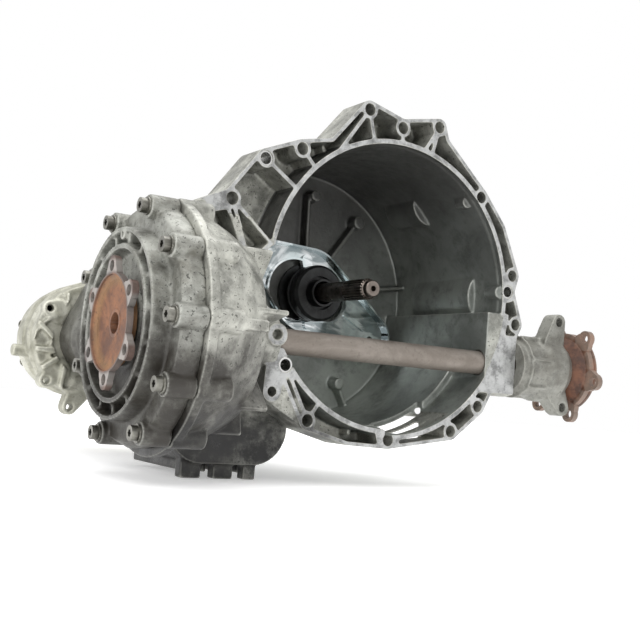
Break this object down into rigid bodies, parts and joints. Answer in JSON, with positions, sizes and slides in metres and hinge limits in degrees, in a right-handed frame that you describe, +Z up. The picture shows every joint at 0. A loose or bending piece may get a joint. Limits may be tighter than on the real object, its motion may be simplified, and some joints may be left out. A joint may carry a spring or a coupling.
{
  "type": "manual transmission",
  "caption": "Manual transaxle casing with open clutch bell, splined input shaft, side differential with two drive flanges and ribbed gearbox case.",
  "frame": {"origin": "centre of the bell's mouth on the engine face, where the input shaft's axis meets it", "axes": "+Y from the engine towards the gearbox along the input shaft, +Z up, +X to the right seen from the engine"},
  "size_m": [0.58, 0.6196, 0.3996],
  "materials": {
    "cast_housing": "weathered casting",
    "cast_case": "weathered casting",
    "cast_rear": "clean pale casting",
    "cast_cover": "oily casting",
    "cast_bracket": "clean casting",
    "rusty_flange": "rusty",
    "rusty_shaft": "rusty and oxidised",
    "zinc_sheet": "bright plated sheet",
    "black_steel": "black oiled steel",
    "seal_rubber": "matte",
    "shaft_steel": "brown oiled steel",
    "bolt_steel": "dull zinc",
    "bright_steel": "bright",
    "bearing_steel": "ground",
    "shift_steel": "satin",
    "gear_steel": "ground"
  },
  "bodies": {
    "housing": {"clutch_housing": "cast_housing", "gearbox_case": "cast_case", "rear_housing": "cast_rear", "rear_cover": "cast_rear", "differential_cover": "cast_cover", "right_bracket": "cast_bracket", "lever_ball_stud": "bright_steel", "idler_pin": "gear_steel", "input_bearings": "bearing_steel", "output_bearings": "bearing_steel", "pinion_bearing": "bearing_steel", "side_rear_bearing": "bearing_steel", "differential_bearings": "bearing_steel", "shaft_seals": "seal_rubber", "right_bearing": "bearing_steel", "guide_sleeve": "black_steel", "dowel_sleeves": "bright_steel", "cover_bolts": "bolt_steel", "case_bolts": "bolt_steel", "rear_bolts": "bolt_steel", "drain_plug": "bolt_steel", "filler_plug": "bolt_steel"},
    "input": {"input_shaft": "shaft_steel", "input_gears": "gear_steel"},
    "first": {"first_gear": "gear_steel"},
    "second": {"second_gear": "gear_steel"},
    "third": {"third_gear": "gear_steel"},
    "fourth": {"fourth_gear": "gear_steel"},
    "fifth": {"fifth_gear": "gear_steel"},
    "sixth": {"sixth_gear": "gear_steel"},
    "reverse": {"reverse_gear": "gear_steel"},
    "idler": {"reverse_idler": "gear_steel"},
    "differential": {"differential_case": "gear_steel", "ring_gear": "gear_steel", "cross_pin": "gear_steel"},
    "upper_spider": {"upper_spider_gear": "gear_steel"},
    "lower_spider": {"lower_spider_gear": "gear_steel"},
    "left_drive": {"left_flange": "rusty_flange", "left_side_gear": "gear_steel"},
    "right_drive": {"cross_shaft": "rusty_shaft", "right_flange": "rusty_shaft", "right_side_gear": "gear_steel"},
    "side": {"side_shaft": "gear_steel", "transfer_driven_gear": "gear_steel"},
    "output": {"output_shaft": "gear_steel", "synchro_hubs": "gear_steel", "transfer_drive_gear": "gear_steel"},
    "sleeve_12": {"sleeve_12": "gear_steel"},
    "fork_12": {"fork_12": "shift_steel"},
    "sleeve_34": {"sleeve_34": "gear_steel"},
    "fork_34": {"fork_34": "shift_steel"},
    "sleeve_56": {"sleeve_56": "gear_steel"},
    "fork_56": {"fork_56": "shift_steel"},
    "sleeve_reverse": {"sleeve_reverse": "gear_steel"},
    "fork_reverse": {"fork_reverse": "shift_steel"},
    "selector": {"selector_shaft": "shift_steel", "shift_lever": "shift_steel"},
    "lever": {"release_lever": "zinc_sheet"},
    "release": {"release_bearing": "black_steel"}
  },
  "joints": [
    {"name": "input_spin", "type": "hinge", "parent": "housing", "child": "input", "pos_m": [0, 0.06, 0], "axis": [0, 1, 0], "continuous": true},
    {"name": "first_gear_spin", "type": "hinge", "parent": "housing", "child": "first", "pos_m": [-0.064, 0.3, -0.048], "axis": [0, 1, 0], "continuous": true},
    {"name": "second_gear_spin", "type": "hinge", "parent": "housing", "child": "second", "pos_m": [-0.064, 0.3, -0.048], "axis": [0, 1, 0], "continuous": true},
    {"name": "third_gear_spin", "type": "hinge", "parent": "housing", "child": "third", "pos_m": [-0.064, 0.3, -0.048], "axis": [0, 1, 0], "continuous": true},
    {"name": "fourth_gear_spin", "type": "hinge", "parent": "housing", "child": "fourth", "pos_m": [-0.064, 0.3, -0.048], "axis": [0, 1, 0], "continuous": true},
    {"name": "fifth_gear_spin", "type": "hinge", "parent": "housing", "child": "fifth", "pos_m": [-0.064, 0.3, -0.048], "axis": [0, 1, 0], "continuous": true},
    {"name": "sixth_gear_spin", "type": "hinge", "parent": "housing", "child": "sixth", "pos_m": [-0.064, 0.3, -0.048], "axis": [0, 1, 0], "continuous": true},
    {"name": "idler_spin", "type": "hinge", "parent": "housing", "child": "idler", "pos_m": [0.00327, 0.4, -0.04237], "axis": [0, 1, 0], "continuous": true},
    {"name": "reverse_gear_spin", "type": "hinge", "parent": "housing", "child": "reverse", "pos_m": [-0.064, 0.4, -0.048], "axis": [0, 1, 0], "continuous": true},
    {"name": "differential_spin", "type": "hinge", "parent": "housing", "child": "differential", "pos_m": [-0.223, 0.0152, -0.0692], "axis": [1, 0, 0], "continuous": true},
    {"name": "side_spin", "type": "hinge", "parent": "housing", "child": "side", "pos_m": [-0.17754, 0.3, -0.0692], "axis": [0, 1, 0], "continuous": true},
    {"name": "output_spin", "type": "hinge", "parent": "housing", "child": "output", "pos_m": [-0.064, 0.3, -0.048], "axis": [0, 1, 0], "continuous": true},
    {"name": "left_drive_spin", "type": "hinge", "parent": "differential", "child": "left_drive", "pos_m": [-0.29, 0.0152, -0.0692], "axis": [1, 0, 0], "continuous": true},
    {"name": "right_drive_spin", "type": "hinge", "parent": "differential", "child": "right_drive", "pos_m": [0.2, 0.0152, -0.0692], "axis": [1, 0, 0], "continuous": true},
    {"name": "upper_spider_spin", "type": "hinge", "parent": "differential", "child": "upper_spider", "pos_m": [-0.223, 0.0152, -0.0692], "axis": [0, 0, 1], "continuous": true},
    {"name": "lower_spider_spin", "type": "hinge", "parent": "differential", "child": "lower_spider", "pos_m": [-0.223, 0.0152, -0.0692], "axis": [0, 0, 1], "continuous": true},
    {"name": "fork_12_slide", "type": "slide", "parent": "housing", "child": "fork_12", "axis": [0, 1, 0], "range_m": [-0.0055, 0.0055]},
    {"name": "sleeve_12_slide", "type": "slide", "parent": "output", "child": "sleeve_12", "axis": [0, 1, 0], "range_m": [-0.0055, 0.0055]},
    {"name": "fork_34_slide", "type": "slide", "parent": "housing", "child": "fork_34", "axis": [0, 1, 0], "range_m": [-0.0055, 0.0055]},
    {"name": "sleeve_34_slide", "type": "slide", "parent": "output", "child": "sleeve_34", "axis": [0, 1, 0], "range_m": [-0.0055, 0.0055]},
    {"name": "fork_56_slide", "type": "slide", "parent": "housing", "child": "fork_56", "axis": [0, 1, 0], "range_m": [-0.0055, 0.0055]},
    {"name": "sleeve_56_slide", "type": "slide", "parent": "output", "child": "sleeve_56", "axis": [0, 1, 0], "range_m": [-0.0055, 0.0055]},
    {"name": "fork_reverse_slide", "type": "slide", "parent": "housing", "child": "fork_reverse", "axis": [0, 1, 0], "range_m": [-0.0055, 0]},
    {"name": "sleeve_reverse_slide", "type": "slide", "parent": "output", "child": "sleeve_reverse", "axis": [0, 1, 0], "range_m": [-0.0055, 0]},
    {"name": "selector_turn", "type": "hinge", "parent": "housing", "child": "selector", "pos_m": [-0.09, 0.309, 0.06], "axis": [0, 0, 1], "range_deg": [-14, 14]},
    {"name": "lever_turn", "type": "hinge", "parent": "housing", "child": "lever", "pos_m": [-0.068, 0.1883, 0.029], "axis": [-0.345, 0, -0.9386], "range_deg": [0, 4.2]},
    {"name": "release_slide", "type": "slide", "parent": "housing", "child": "release", "axis": [0, -1, 0], "range_m": [0, 0.0082]}
  ],
  "couplings": [
    {"joint": "first_gear_spin", "follows": "input_spin", "ratio": -0.33333},
    {"joint": "second_gear_spin", "follows": "input_spin", "ratio": -0.48837},
    {"joint": "third_gear_spin", "follows": "input_spin", "ratio": -0.72973},
    {"joint": "fourth_gear_spin", "follows": "input_spin", "ratio": -0.93939},
    {"joint": "fifth_gear_spin", "follows": "input_spin", "ratio": -1.2069},
    {"joint": "sixth_gear_spin", "follows": "input_spin", "ratio": -1.4615},
    {"joint": "idler_spin", "follows": "input_spin", "ratio": -0.88889},
    {"joint": "reverse_gear_spin", "follows": "input_spin", "ratio": 0.44444},
    {"joint": "side_spin", "follows": "differential_spin", "ratio": 3.2727},
    {"joint": "output_spin", "follows": "differential_spin", "ratio": -3.0273},
    {"joint": "right_drive_spin", "follows": "left_drive_spin", "ratio": -1},
    {"joint": "upper_spider_spin", "follows": "left_drive_spin", "ratio": 1.6},
    {"joint": "lower_spider_spin", "follows": "left_drive_spin", "ratio": -1.6},
    {"joint": "sleeve_12_slide", "follows": "fork_12_slide", "ratio": 1},
    {"joint": "sleeve_34_slide", "follows": "fork_34_slide", "ratio": 1},
    {"joint": "sleeve_56_slide", "follows": "fork_56_slide", "ratio": 1},
    {"joint": "sleeve_reverse_slide", "follows": "fork_reverse_slide", "ratio": 1},
    {"joint": "release_slide", "follows": "lever_turn", "m_per_rad": 0.07383}
  ]
}
